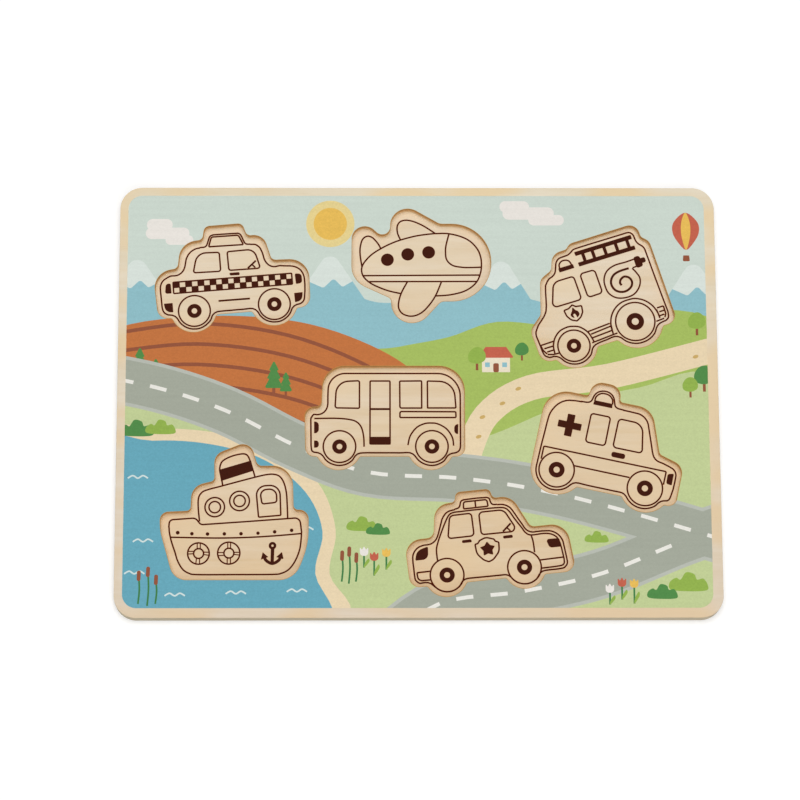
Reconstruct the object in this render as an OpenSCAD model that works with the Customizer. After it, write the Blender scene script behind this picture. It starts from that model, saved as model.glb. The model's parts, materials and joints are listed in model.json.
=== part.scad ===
/* [Board] */
// Length of the board, left to right
board_l = 300; // [260:1:450]
// Width of the board, near edge to far edge
board_w = 220; // [200:1:330]
// Radius of the board's corners
board_corner_r = 11; // [4:0.5:20]
// Thickness of the base panel, the floor of the recesses
base_t = 3; // [2:0.5:8]
// Thickness of the printed panel, the depth of the recesses
top_t = 5; // [3:0.5:12]

/* [Loose vehicles] */
// Thickness of a loose vehicle
vehicle_t = 6.5; // [4:0.5:20]
// Gap all round between a vehicle and its recess
fit_gap = 0.6; // [0.3:0.1:1.5]
// Distance from the board's side to the middle of each column of parked vehicles
park_away = 112; // [80:1:200]
// Gap between the boxes of the vehicles parked in a column
park_gap = 3; // [2:0.5:30]

/* [Pegs] */
// Width of the round knob
knob_d = 12.5; // [9:0.5:24]
// Width of the neck under the knob
neck_d = 6.5; // [5.5:0.5:10]
// Height of the neck between the vehicle and the knob
neck_h = 2.5; // [1:0.5:12]
// Width of the shank that is glued into the vehicle
shank_d = 5; // [3:0.25:6]
// Gap round the shank that the glue fills
glue_gap = 0.1; // [0.05:0.05:0.3]

/* [Taxi] */
// Length of the taxi recess
taxi_l = 78.2; // [66:0.1:88]
// Height of the taxi recess in its drawing
taxi_h = 54.2; // [46:0.1:61]
// Turn of the taxi in degrees
taxi_turn = 5; // [-25:1:25]

/* [Plane] */
// Length of the plane recess
plane_l = 70; // [60:0.1:79]
// Height of the plane recess in its drawing
plane_h = 58.8; // [50:0.1:66]
// Turn of the plane in degrees
plane_turn = 0; // [-25:1:25]

/* [Fire engine] */
// Length of the fire engine recess
fire_l = 72.4; // [62:0.1:82]
// Height of the fire engine recess in its drawing
fire_h = 62.4; // [53:0.1:71]
// Turn of the fire engine in degrees
fire_turn = 18; // [-25:1:25]

/* [Bus] */
// Length of the bus recess
bus_l = 79.6; // [68:0.1:90]
// Height of the bus recess in its drawing
bus_h = 52.8; // [45:0.1:60]
// Turn of the bus in degrees
bus_turn = 0; // [-25:1:25]

/* [Ambulance] */
// Length of the ambulance recess
ambulance_l = 74.2; // [63:0.1:84]
// Height of the ambulance recess in its drawing
ambulance_h = 60.2; // [51:0.1:68]
// Turn of the ambulance in degrees
ambulance_turn = -12; // [-25:1:25]

/* [Boat] */
// Length of the boat recess
boat_l = 73; // [62:0.1:82]
// Height of the boat recess in its drawing
boat_h = 67.7; // [58:0.1:77]
// Turn of the boat in degrees
boat_turn = 0; // [-25:1:25]

/* [Police car] */
// Length of the police car recess
police_l = 82.1; // [70:0.1:93]
// Height of the police car recess in its drawing
police_h = 51.3; // [44:0.1:58]
// Turn of the police car in degrees
police_turn = 6; // [-25:1:25]

/* [Hidden] */
// Overrun of a cutting shape past the face it cuts
overrun = 1;
// Largest step along a round stretch of an outline, in degrees
arc_step = 7;
// Place of a peg on its vehicle, as shares of the outline's box
peg_place_shares = [0.5, 0.46];
// Radius of the fillet between a wheel and the body, as a share of the height
wheel_fillet_share = 0.032;
// Points of an outline closer than this are one point
same_point = 0.005;
$fn = 64;

// Outline corners, anticlockwise from the lower right: place along the length,
// place up the height, and corner radius as a share of the height.
taxi_shares = [
    [0.985, 0.152, 0.100], [1.000, 0.607, 0.180], [0.763, 0.623, 0.055],
    [0.722, 0.876, 0.120], [0.617, 0.876, 0.055], [0.592, 1.000, 0.055],
    [0.352, 1.000, 0.055], [0.333, 0.872, 0.055], [0.192, 0.860, 0.170],
    [0.160, 0.617, 0.055], [0.000, 0.595, 0.170], [0.012, 0.152, 0.100]];
plane_shares = [
    [1.000, 0.190, 0.337], [1.000, 0.872, 0.335], [0.632, 0.872, 0.085],
    [0.279, 1.113, 0.146], [0.279, 0.683, 0.072], [0.003, 0.990, 0.109],
    [0.000, 0.372, 0.200], [0.286, 0.213, 0.050], [0.286, -0.274, 0.172],
    [0.640, 0.190, 0.068]];
fire_shares = [
    [0.990, 0.120, 0.080], [0.992, 0.820, 0.080], [0.946, 0.872, 0.050],
    [0.944, 0.995, 0.080], [0.458, 0.995, 0.065], [0.425, 0.957, 0.050],
    [0.322, 0.957, 0.095], [0.278, 0.830, 0.055], [0.183, 0.785, 0.085],
    [0.107, 0.505, 0.065], [0.000, 0.410, 0.100], [0.008, 0.120, 0.090]];
bus_shares = [
    [1.000, 0.130, 0.085], [1.000, 1.000, 0.240], [0.118, 1.000, 0.210],
    [0.104, 0.603, 0.055], [0.000, 0.603, 0.092], [0.008, 0.130, 0.083]];
ambulance_shares = [
    [0.998, 0.097, 0.070], [1.000, 0.445, 0.100], [0.828, 0.503, 0.050],
    [0.722, 0.868, 0.160], [0.500, 0.868, 0.032], [0.488, 1.000, 0.097],
    [0.303, 1.000, 0.097], [0.290, 0.868, 0.032], [0.008, 0.868, 0.200],
    [0.000, 0.000, 0.215]];
boat_shares = [
    [0.905, 0.000, 0.1625], [1.000, 0.255, 0.600], [1.000, 0.515, 0.066],
    [0.898, 0.513, 0.037], [0.890, 0.845, 0.148], [0.652, 0.840, 0.050],
    [0.602, 1.031, 0.081], [0.364, 0.9275, 0.090], [0.367, 0.730, 0.037],
    [0.212, 0.690, 0.110], [0.207, 0.507, 0.037], [0.000, 0.497, 0.060],
    [0.000, 0.370, 0.420], [0.097, 0.000, 0.120]];
police_shares = [
    [1.005, 0.122, 0.100], [0.980, 0.588, 0.170], [0.765, 0.588, 0.070],
    [0.668, 0.910, 0.160], [0.557, 0.905, 0.050], [0.542, 1.000, 0.050],
    [0.342, 1.000, 0.050], [0.330, 0.903, 0.050], [0.208, 0.895, 0.150],
    [0.180, 0.580, 0.080], [0.003, 0.578, 0.150], [0.008, 0.122, 0.100]];

// Wheels: place along the length, radius as a share of the height, and the level
// of the body's lower edge on the wheel's left and right. A wheel that takes up
// its end of the body has only the level on its inner side.
taxi_wheel_shares = [[0.240, 0.212, 0.152, 0.152], [0.757, 0.212, 0.152, 0.152]];
fire_wheel_shares = [[0.256, 0.183, 0.120, 0.120], [0.720, 0.210, 0.120, 0.120]];
bus_wheel_shares = [[0.212, 0.214, 0.130, 0.130], [0.787, 0.214, 0.130, 0.130]];
ambulance_wheel_shares = [[0.180, 0.215, undef, 0.097], [0.778, 0.207, 0.097, 0.097]];
police_wheel_shares = [[0.228, 0.203, 0.122, 0.122], [0.702, 0.197, 0.122, 0.122]];

// Middle of each recess from the middle of the board, as shares of its length and width
taxi_place_shares = [-0.3117, 0.2886];
plane_place_shares = [0.0063, 0.3136];
fire_place_shares = [0.2970, 0.2364];
bus_place_shares = [-0.0557, -0.0423];
ambulance_place_shares = [0.3197, -0.1055];
boat_place_shares = [-0.3037, -0.2595];
police_place_shares = [0.1137, -0.3250];

// Each vehicle: size, place on the board, turn, corners, wheels, and where it is
// parked: the left side (-1) or the right side (1), and its turn from the far end
taxi_set = [[taxi_l, taxi_h], taxi_place_shares, taxi_turn,
            taxi_shares, taxi_wheel_shares, [-1, 0]];
plane_set = [[plane_l, plane_h], plane_place_shares, plane_turn,
             plane_shares, [], [1, 0]];
fire_set = [[fire_l, fire_h], fire_place_shares, fire_turn,
            fire_shares, fire_wheel_shares, [1, 1]];
bus_set = [[bus_l, bus_h], bus_place_shares, bus_turn,
           bus_shares, bus_wheel_shares, [-1, 1]];
ambulance_set = [[ambulance_l, ambulance_h], ambulance_place_shares, ambulance_turn,
                 ambulance_shares, ambulance_wheel_shares, [1, 2]];
boat_set = [[boat_l, boat_h], boat_place_shares, boat_turn,
            boat_shares, [], [-1, 2]];
police_set = [[police_l, police_h], police_place_shares, police_turn,
              police_shares, police_wheel_shares, [1, 3]];
sets = [taxi_set, plane_set, fire_set, bus_set, ambulance_set, boat_set, police_set];

function size_of(set) = set[0];
function place_of(set) = [set[1][0] * board_l, set[1][1] * board_w];
function turn_of(set) = set[2];
function side_of(set) = set[5][0];
function order_of(set) = set[5][1];

// Room that a vehicle takes in its column, with the gap to the next one
function room_of(set) =
    size_of(set)[0] * abs(sin(turn_of(set))) + size_of(set)[1] * cos(turn_of(set)) + park_gap;

// Room that the first vehicles of a column take
function room_before(side, order) =
    let (rooms = [for (s = sets) if (side_of(s) == side && order_of(s) < order) room_of(s)])
    len(rooms) == 0 ? 0 : rooms * [for (r = rooms) 1];

// Parked place of a vehicle, in a column that is centred on the board
function park_of(set) =
    let (side = side_of(set))
    [side * (board_l / 2 + park_away),
     room_before(side, len(sets)) / 2 - room_before(side, order_of(set)) - room_of(set) / 2];

function unit(v) = v / norm(v);
function cross_z(a, b) = a[0] * b[1] - a[1] * b[0];
function next(i, list) = (i + 1) % len(list);
function before(i, list) = (i + len(list) - 1) % len(list);
function xy(corner) = [corner[0], corner[1]];

// Direction of the edge that runs from one corner to the next
function edge(c, i) = unit(xy(c[next(i, c)]) - xy(c[i]));

// One side of a wheel: where its common tangent with the fillet meets the lower
// edge of the body and the ground. The side is 1 on the right and -1 on the left.
function tangent_pair(x, r, level, fillet, side) =
    let (low = r - level + fillet,
         reach = sqrt(pow(r + fillet, 2) - pow(low, 2)),
         out = [side * reach, -low] / (r + fillet),
         foot = [x, r] + r * out,
         slope = [-out[1], out[0]],
         up = foot + slope * (level - foot[1]) / slope[1],
         down = foot + slope * (-foot[1]) / slope[1])
    side > 0 ? [[down[0], down[1], r], [up[0], up[1], fillet]]
             : [[up[0], up[1], fillet], [down[0], down[1], r]];

function wheel_corners(w, size) =
    let (x = w[0] * size[0], r = w[1] * size[1], fillet = wheel_fillet_share * size[1])
    concat(is_undef(w[2]) ? [] : tangent_pair(x, r, w[2] * size[1], fillet, -1),
           tangent_pair(x, r, w[3] * size[1], fillet, 1));

// All corners of a recess, about the middle of its box
function corners_of(set) =
    let (size = size_of(set),
         body = [for (s = set[3]) [s[0] * size[0], s[1] * size[1], s[2] * size[1]]],
         wheels = [for (w = set[4]) each wheel_corners(w, size)])
    [for (c = concat(body, wheels)) [c[0] - size[0] / 2, c[1] - size[1] / 2, c[2]]];

// The same corners moved outwards by a gap, or inwards by a negative one
function grown(c, gap) =
    [for (i = [0 : len(c) - 1])
        let (a = edge(c, before(i, c)), b = edge(c, i),
             na = [a[1], -a[0]], nb = [b[1], -b[0]],
             p = xy(c[i]) + gap * (na + nb) / (1 + na * nb),
             r = c[i][2] + (cross_z(a, b) > 0 ? gap : -gap))
        [p[0], p[1], max(r, 0)]];

// Bend of the outline at a corner, in degrees, to the left when positive
function bend(c, i) =
    let (a = edge(c, before(i, c)), b = edge(c, i)) atan2(cross_z(a, b), a * b);

// Length that the arc of a corner takes up of each of its edges
function reach(c, i) = c[i][2] * tan(abs(bend(c, i)) / 2);

// Share of their arcs that fits on the edge from one corner to the next
function fit_share(c, i) =
    norm(xy(c[next(i, c)]) - xy(c[i])) / max(reach(c, i) + reach(c, next(i, c)), same_point);

// The points of an outline with every corner rounded by an arc. Where an edge is too
// short for the arcs at its two ends, both get smaller.
function arcs(c) =
    [for (i = [0 : len(c) - 1])
        let (a = edge(c, before(i, c)), turn = bend(c, i), sense = sign(turn),
             r = c[i][2] * min(1, fit_share(c, i), fit_share(c, before(i, c))),
             start = xy(c[i]) - a * r * tan(abs(turn) / 2),
             middle = start + sense * r * [-a[1], a[0]],
             from = atan2(a[1], a[0]) - sense * 90,
             steps = max(1, ceil(abs(turn) / arc_step)))
        for (k = [0 : steps])
            let (at = from + turn * k / steps)
            middle + r * [cos(at), sin(at)]];

// The same points without those that two arcs share
function distinct(p) =
    [for (i = [0 : len(p) - 1]) if (norm(p[i] - p[next(i, p)]) > same_point) p[i]];

function rounded(c) = distinct(arcs(c));

module recess_shape(set) {
    polygon(rounded(corners_of(set)));
}

module vehicle_shape(set) {
    polygon(rounded(grown(corners_of(set), -fit_gap)));
}

module board_shape() {
    polygon(rounded([for (sx = [1, -1]) each [for (sy = [-1, 1])
        [sx * board_l / 2, sx * sy * board_w / 2, board_corner_r]]]));
}

module at_recess(set) {
    translate([place_of(set)[0], place_of(set)[1], 0]) rotate(turn_of(set)) children();
}

module at_park(set) {
    translate([park_of(set)[0], park_of(set)[1], 0]) rotate(turn_of(set)) children();
}

module at_peg(set) {
    translate([(peg_place_shares[0] - 1 / 2) * size_of(set)[0],
               (peg_place_shares[1] - 1 / 2) * size_of(set)[1], 0]) children();
}

module loose_vehicle(set) {
    at_park(set) difference() {
        linear_extrude(vehicle_t) vehicle_shape(set);
        at_peg(set) translate([0, 0, -overrun])
            cylinder(d = shank_d + 2 * glue_gap, h = vehicle_t + 2 * overrun);
    }
}

module peg(set) {
    at_park(set) at_peg(set) {
        cylinder(d = shank_d, h = vehicle_t);
        translate([0, 0, vehicle_t]) cylinder(d = neck_d, h = neck_h + knob_d / 2);
        translate([0, 0, vehicle_t + neck_h + knob_d / 2]) sphere(d = knob_d);
    }
}

module base_panel() {
    color("burlywood") linear_extrude(base_t) board_shape();
}

module top_panel() {
    color("tan") translate([0, 0, base_t]) linear_extrude(top_t) difference() {
        board_shape();
        for (set = sets) at_recess(set) recess_shape(set);
    }
}

module taxi() {
    color("gold") loose_vehicle(taxi_set);
}

module plane() {
    color("skyblue") loose_vehicle(plane_set);
}

module fire_engine() {
    color("tomato") loose_vehicle(fire_set);
}

module bus() {
    color("orange") loose_vehicle(bus_set);
}

module ambulance() {
    color("ivory") loose_vehicle(ambulance_set);
}

module boat() {
    color("steelblue") loose_vehicle(boat_set);
}

module police_car() {
    color("slategray") loose_vehicle(police_set);
}

module taxi_peg() {
    color("wheat") peg(taxi_set);
}

module plane_peg() {
    color("wheat") peg(plane_set);
}

module fire_engine_peg() {
    color("wheat") peg(fire_set);
}

module bus_peg() {
    color("wheat") peg(bus_set);
}

module ambulance_peg() {
    color("wheat") peg(ambulance_set);
}

module boat_peg() {
    color("wheat") peg(boat_set);
}

module police_car_peg() {
    color("wheat") peg(police_set);
}

base_panel();
top_panel();
taxi();
plane();
fire_engine();
bus();
ambulance();
boat();
police_car();
taxi_peg();
plane_peg();
fire_engine_peg();
bus_peg();
ambulance_peg();
boat_peg();
police_car_peg();
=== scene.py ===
"""Wooden peg puzzle: a printed board with seven recesses, and seven loose vehicles with turned pegs."""

import json
import math

import bpy
from mathutils import Matrix, Vector


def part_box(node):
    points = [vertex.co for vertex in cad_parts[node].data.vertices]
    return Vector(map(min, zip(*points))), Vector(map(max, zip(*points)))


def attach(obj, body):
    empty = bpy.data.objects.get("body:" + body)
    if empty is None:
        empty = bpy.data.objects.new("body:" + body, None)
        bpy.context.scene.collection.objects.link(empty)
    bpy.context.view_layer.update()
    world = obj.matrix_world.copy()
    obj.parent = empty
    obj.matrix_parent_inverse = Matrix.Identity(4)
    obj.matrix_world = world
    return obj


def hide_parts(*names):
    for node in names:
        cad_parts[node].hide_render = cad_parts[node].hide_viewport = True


bl_info = {
    "name": "Vehicle peg puzzle",
    "version": (1, 0, 0),
    "blender": (4, 5, 0),
    "location": "View3D > Sidebar > Peg puzzle",
    "description": "Dresses the CAD model of a wooden peg puzzle",
    "category": "Object",
}

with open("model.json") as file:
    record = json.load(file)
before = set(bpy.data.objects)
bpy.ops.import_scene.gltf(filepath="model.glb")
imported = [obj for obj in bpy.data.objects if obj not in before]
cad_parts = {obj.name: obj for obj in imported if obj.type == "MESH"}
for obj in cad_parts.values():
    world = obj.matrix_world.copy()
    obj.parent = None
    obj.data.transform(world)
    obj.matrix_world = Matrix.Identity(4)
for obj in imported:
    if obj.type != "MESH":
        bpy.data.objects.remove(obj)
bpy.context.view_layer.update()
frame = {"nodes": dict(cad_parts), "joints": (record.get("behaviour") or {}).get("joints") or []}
MM = 0.001
FLOOR_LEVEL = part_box("base_panel")[1].z
FACE_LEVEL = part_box("top_panel")[1].z
FAR_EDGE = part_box("top_panel")[1].y
VEHICLE_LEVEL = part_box("taxi")[1].z
PEG_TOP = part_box("taxi_peg")[1].z
PEG_SHARE = -0.04  # the peg's place below a vehicle's middle, in vehicle heights
NEAR = 1e-6  # a point this near to a level, in m, lies on it
CUT_PAST, SHAPE_PAST = 0.001, 0.0005  # how far cutters of holes and of printed shapes reach past a face, in m
MARK_PAST, LINE_PAST, BAND_PAST = 0.0005, 0.0004, 0.0003  # the same for the cutters of the drawings


# Outlines

def pairs(outline):
    """Each point of a closed outline with the next one."""
    return zip(outline, outline[1:] + outline[:1])


def smooth(points, closed=True, parts=6):
    """A soft line through points."""
    n, out = len(points), []
    for i in range(n if closed else n - 1):
        p1, p2 = points[i], points[(i + 1) % n]
        p0 = points[i - 1] if closed or i else p1
        p3 = points[(i + 2) % n] if closed or i + 2 < n else p2
        for k in range(parts):
            t = k / parts
            out.append(tuple(0.5 * (2 * b + (c - a) * t + (2 * a - 5 * b + 4 * c - d) * t * t
                                    + (3 * b - a - 3 * c + d) * t ** 3)
                             for a, b, c, d in zip(p0, p1, p2, p3)))
    return out if closed else out + [tuple(points[-1])]


def unit(a, b):
    """Direction from a to b, and their distance."""
    far = math.hypot(b[0] - a[0], b[1] - a[1])
    return ((b[0] - a[0]) / far, (b[1] - a[1]) / far), far


def rounded(corners, closed=True, step=12):
    """A line of straight runs whose corners (x, y, radius) are arcs, in steps of so many degrees or less."""
    n, out, most = len(corners), [], 0.98  # the arcs at its ends may take this share of a run
    runs = [unit(corners[i - 1], corners[i]) for i in range(n)]
    turns, needs = [], []
    for i, corner in enumerate(corners):
        (ax, ay), (bx, by) = runs[i][0], runs[(i + 1) % n][0]
        sharp = len(corner) < 3 or (not closed and i in (0, n - 1))
        turns.append(math.atan2(ax * by - ay * bx, ax * bx + ay * by))
        needs.append(0 if sharp else corner[2] * math.tan(abs(turns[i]) / 2))
    for i, here in enumerate(corners):
        need = needs[i]
        for run, other in ((runs[i][1], needs[i - 1]), (runs[(i + 1) % n][1], needs[(i + 1) % n])):
            if needs[i] + other > most * run:
                need = min(need, needs[i] * most * run / (needs[i] + other))
        if need < 1e-6:
            out.append(here[:2])
            continue
        (ax, ay), side = runs[i][0], math.copysign(1, turns[i])
        radius = need / math.tan(abs(turns[i]) / 2)
        start = (here[0] - ax * need, here[1] - ay * need)
        centre = (start[0] - side * radius * ay, start[1] + side * radius * ax)
        first = math.atan2(ay, ax) - side * math.pi / 2
        parts = max(2, math.ceil(abs(math.degrees(turns[i])) / step))
        for k in range(parts + 1):
            angle = first + turns[i] * k / parts
            out.append((centre[0] + radius * math.cos(angle), centre[1] + radius * math.sin(angle)))
    return out


def turned(x, y, degrees, px=0, py=0):
    """The point (x, y) turned round the origin, then moved by (px, py)."""
    c, s = math.cos(math.radians(degrees)), math.sin(math.radians(degrees))
    return px + x * c - y * s, py + x * s + y * c


def circle(x, y, radius, sides=48):
    return [(x + radius * math.cos(2 * math.pi * k / sides), y + radius * math.sin(2 * math.pi * k / sides))
            for k in range(sides)]


def oval(x, y, wide, high, turn, sides):
    return [turned(wide * a, high * b, turn, x, y) for a, b in circle(0, 0, 1, sides)]


def box(x0, x1, y0, y1, r=0):
    return rounded([(x0, y0, r), (x1, y0, r), (x1, y1, r), (x0, y1, r)])


def pill(x, y, long, high, turn=0):
    return [turned(a, b, turn, x, y) for a, b in box(-long / 2, long / 2, -high / 2, high / 2, high / 2)]


def ribbon(path, width):
    """Outline of a line of even width."""
    left, right = [], []
    for i, (x, y) in enumerate(path):
        (tx, ty), _ = unit(path[max(i - 1, 0)], path[min(i + 1, len(path) - 1)])
        left.append((x - ty * width / 2, y + tx * width / 2))
        right.append((x + ty * width / 2, y - tx * width / 2))
    return left + right[::-1]


def dashes(path, width, long, gap, start):
    """Dashes of even length along a path."""
    reach = [0]
    for a, b in zip(path, path[1:]):
        reach.append(reach[-1] + unit(a, b)[1])

    def at(u):
        i = next(k for k in range(len(path) - 1) if reach[k + 1] >= u)
        share = (u - reach[i]) / (reach[i + 1] - reach[i])
        return tuple(a + share * (b - a) for a, b in zip(path[i], path[i + 1]))

    out = []
    while start + long < reach[-1]:
        out.append(ribbon([at(start + long * k / 3) for k in range(4)], width))
        start += long + gap
    return out


def gap_to(point, outline):
    """Distance from a point to a closed outline."""
    best = 1e9
    px, py = point
    for (ax, ay), (bx, by) in pairs(outline):
        dx, dy = bx - ax, by - ay
        long = dx * dx + dy * dy
        t = max(0, min(1, ((px - ax) * dx + (py - ay) * dy) / long)) if long else 0
        best = min(best, (px - ax - t * dx) ** 2 + (py - ay - t * dy) ** 2)
    return math.sqrt(best)


def meeting(p, u, q, v):
    """Where the line on from p along u meets the line that comes to q along v, if they do."""
    bend, straight = u[0] * v[1] - u[1] * v[0], 0.02
    if abs(bend) < straight:
        return []
    on = ((q[0] - p[0]) * v[1] - (q[1] - p[1]) * v[0]) / bend
    back = ((q[0] - p[0]) * u[1] - (q[1] - p[1]) * u[0]) / bend
    return [(p[0] + on * u[0], p[1] + on * u[1])] if on >= 0 >= back else []


def anticlockwise(outline):
    area = sum(a[0] * b[1] - b[0] * a[1] for a, b in pairs(outline))
    return outline if area > 0 else outline[::-1]


def inset(outline, depth):
    """The closed outline moved inwards by depth, or outwards where depth is below 0."""
    outline = anticlockwise(outline)
    n, out, kept = len(outline), [], []
    sharpest, nearly, closest = 0.35, 0.998, 0.03  # for sharp corners, points moved too near and short steps
    ways = [unit(a, b)[0] for a, b in pairs(outline)]
    for i, here in enumerate(outline):
        (ax, ay), (bx, by) = ways[i - 1], ways[i]
        k = depth / max(sharpest, 1 + ax * bx + ay * by)
        out.append((here[0] - (ay + by) * k, here[1] + (ax + bx) * k))
    free = [gap_to(p, outline) > nearly * abs(depth) for p in out]
    for i in range(n):
        if not free[i]:
            continue
        kept.append(out[i])
        if not free[(i + 1) % n]:
            j = next(k % n for k in range(i + 1, i + n + 1) if free[k % n])
            kept += meeting(out[i], ways[i], out[j], ways[j - 1])
    return [p for i, p in enumerate(kept) if math.dist(p, kept[i - 1]) > closest]


def even_steps(outline, step):
    """Points at even steps along a closed outline, anticlockwise from its leftmost point."""
    outline = anticlockwise(outline)
    first = outline.index(min(outline))
    path = outline[first:] + outline[:first + 1]
    reach = [0]
    for a, b in zip(path, path[1:]):
        reach.append(reach[-1] + math.dist(a, b))
    count, out, i = round(reach[-1] / step), [], 0
    for k in range(count):
        far = reach[-1] * k / count
        while reach[i + 1] < far:
            i += 1
        share = (far - reach[i]) / (reach[i + 1] - reach[i])
        out.append(tuple(p + share * (q - p) for p, q in zip(path[i], path[i + 1])))
    return out


def face_outlines(node, level):
    """Outlines in mm of a CAD node's flat faces at a level."""
    mesh, edges = frame["nodes"][node].data, set()
    for face in mesh.polygons:
        points = [mesh.vertices[i].co for i in face.vertices]
        if all(abs(p.z - level) < NEAR for p in points):
            for a, b in pairs([(round(p.x * 1e6), round(p.y * 1e6)) for p in points]):
                if (b, a) in edges:
                    edges.discard((b, a))
                elif a != b:
                    edges.add((a, b))
    after, out = dict(edges), []
    while after:
        path = [min(after)]
        while path[-1] in after:
            path.append(after.pop(path[-1]))
        out.append([(x / 1000, y / 1000) for x, y in path[:-1]])
    return out


def middle(outline):
    xs, ys = [p[0] for p in outline], [p[1] for p in outline]
    return (min(xs) + max(xs)) / 2, (min(ys) + max(ys)) / 2


def span(outline):
    """Length of an outline along X."""
    xs = [p[0] for p in outline]
    return max(xs) - min(xs)


# Marks burnt into the wood
# Places are thousandths of the vehicle's length and height, radii and widths are in mm.

def maker(kind):
    """A function that makes marks of one kind from their places."""
    return lambda *places, wide=None: (kind, places, wide)


loop, fill, blob, line, curve = (maker(kind) for kind in ("loop", "fill", "blob", "line", "curve"))


def ring(x, y, radius):
    return "ring", ((x, y),), radius


def disc(x, y, radius, hole=0):
    return "disc", ((x, y),), (radius, hole)


def dots(*places):
    return [disc(*place) for place in places]


def rays(*ends):
    """Short lines, finer than the others."""
    return [line(*pair, wide=0.5) for pair in ends]


def bar(x0, x1, y0, y1, r=0.3):
    return fill((x0, y0, r), (x1, y0, r), (x1, y1, r), (x0, y1, r))


def wheels(*places, tyre, hub, hole):
    return [mark for x, y in places for mark in (ring(x, y, tyre), disc(x, y, hub, hole))]


def checker(low_left, low_right, top_right, top_left, columns):
    """Two rows of dark and bare squares in a frame; the dark ones overlap and narrow to the right."""
    corner, widen, lap = 0.45, 0.047, 0.06

    def at(u, v):
        return tuple((1 - v) * ((1 - u) * a + u * b) + v * ((1 - u) * d + u * c)
                     for a, b, c, d in zip(low_left, low_right, top_right, top_left))
    out = [loop(*[(*p, corner) for p in (low_left, low_right, top_right, top_left)])]
    edges = [k / columns + widen * k / columns * (1 - k / columns) for k in range(columns + 1)]
    for k in range(columns):
        u0, u1 = max(0, edges[k] - lap / columns), min(1, edges[k + 1] + lap / columns)
        v0, v1 = (0, 0.52) if k % 2 else (0.48, 1)
        out.append(fill(at(u0, v0), at(u1, v0), at(u1, v1), at(u0, v1)))
    return out


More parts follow.
